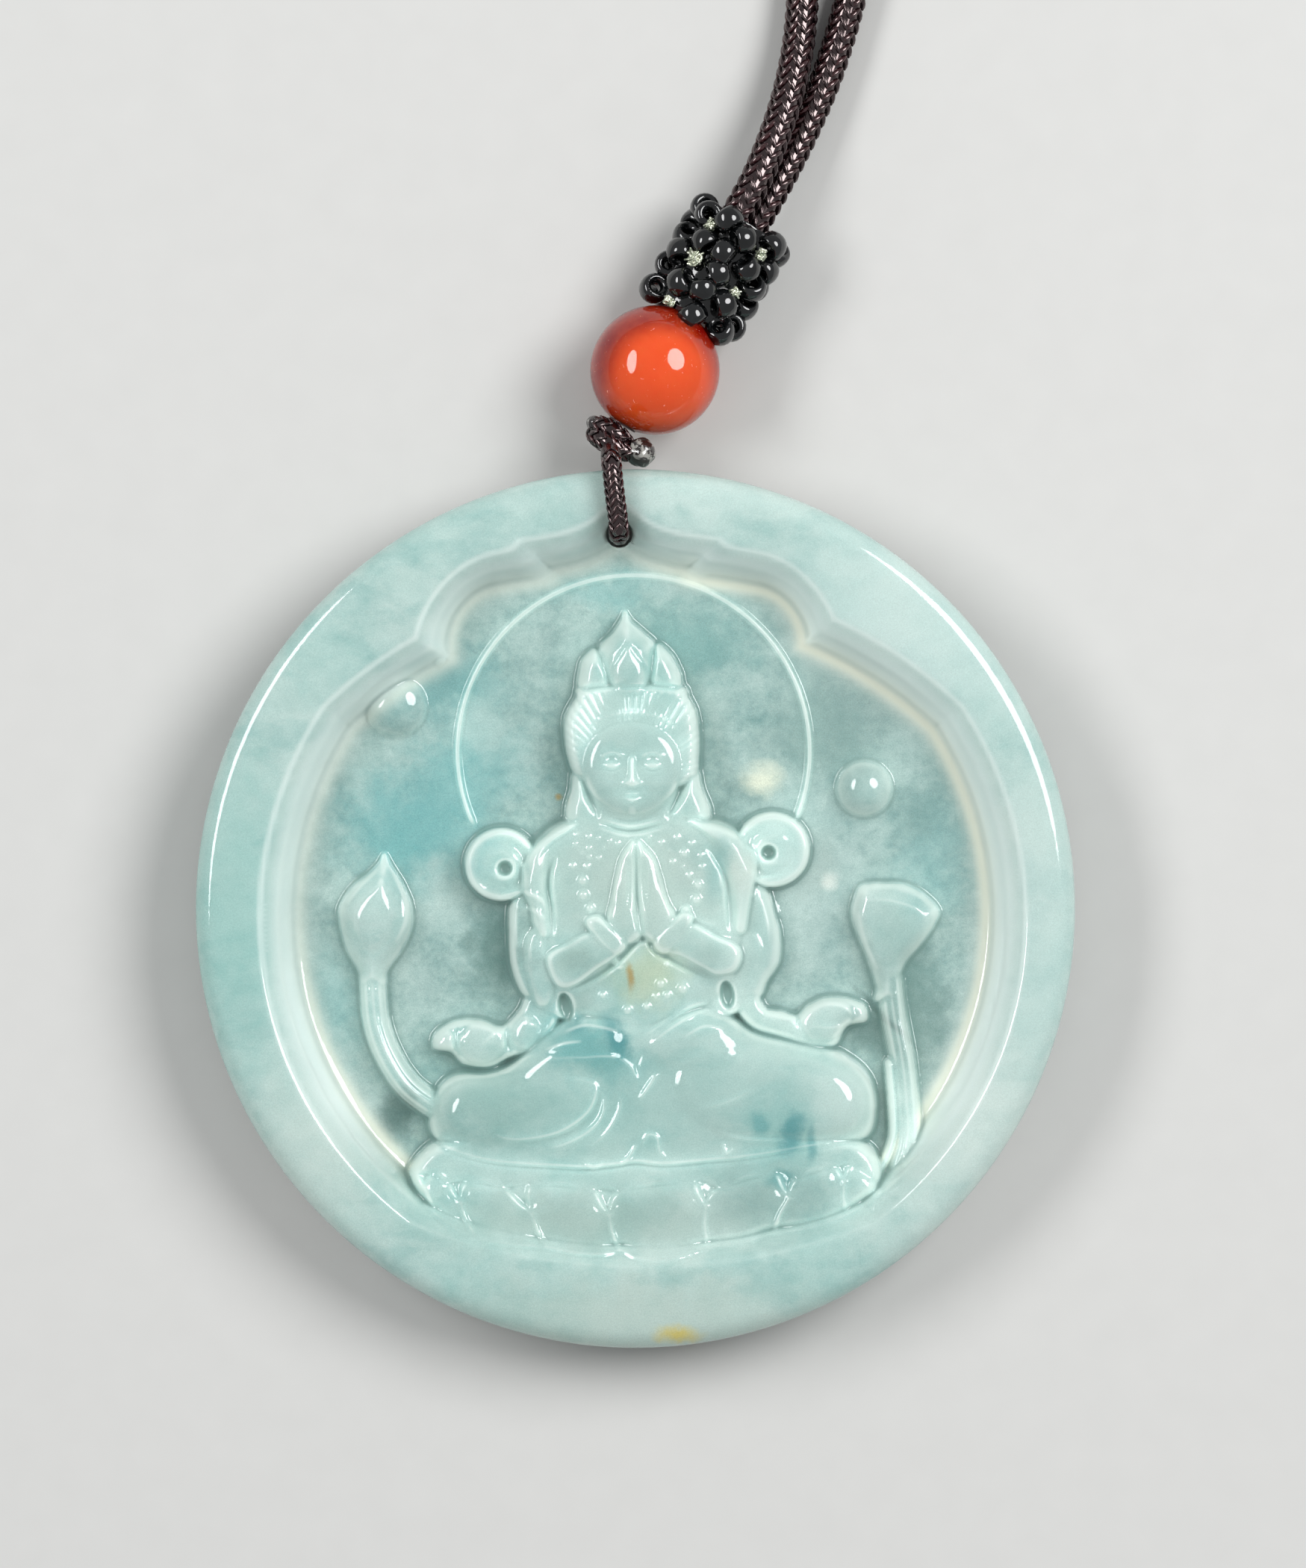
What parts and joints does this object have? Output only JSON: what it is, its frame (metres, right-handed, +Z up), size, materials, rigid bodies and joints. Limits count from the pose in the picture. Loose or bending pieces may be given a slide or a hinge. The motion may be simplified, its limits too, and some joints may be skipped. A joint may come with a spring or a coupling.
{
  "type": "jade pendant on a beaded neck cord",
  "caption": "Round carved jade pendant with a seated figure in a sunk field, on a bead drop and a braided neck cord laid flat.",
  "frame": {"origin": "on the surface that the pendant lies on, straight below the middle of the stone", "axes": "+Y from the stone towards the neck cord, +Z up from the surface, out of the carved face"},
  "size_m": [0.1299, 0.3143, 0.0088],
  "materials": {
    "jade": "polished translucent jadeite",
    "thin_cord": "braided nylon, melted ends",
    "carnelian": "polished carnelian",
    "seed_beads": "opaque black glass beads with metallic thread",
    "neck_braid": "round braided silky cord"
  },
  "bodies": {
    "root": {"jade_disc": "jade", "hanging_loop": "thin_cord", "loop_knot": "thin_cord", "bead_thread": "thin_cord", "red_bead": "carnelian", "seed_bead_sleeve": "seed_beads", "neck_cord": "neck_braid"}
  },
  "joints": []
}
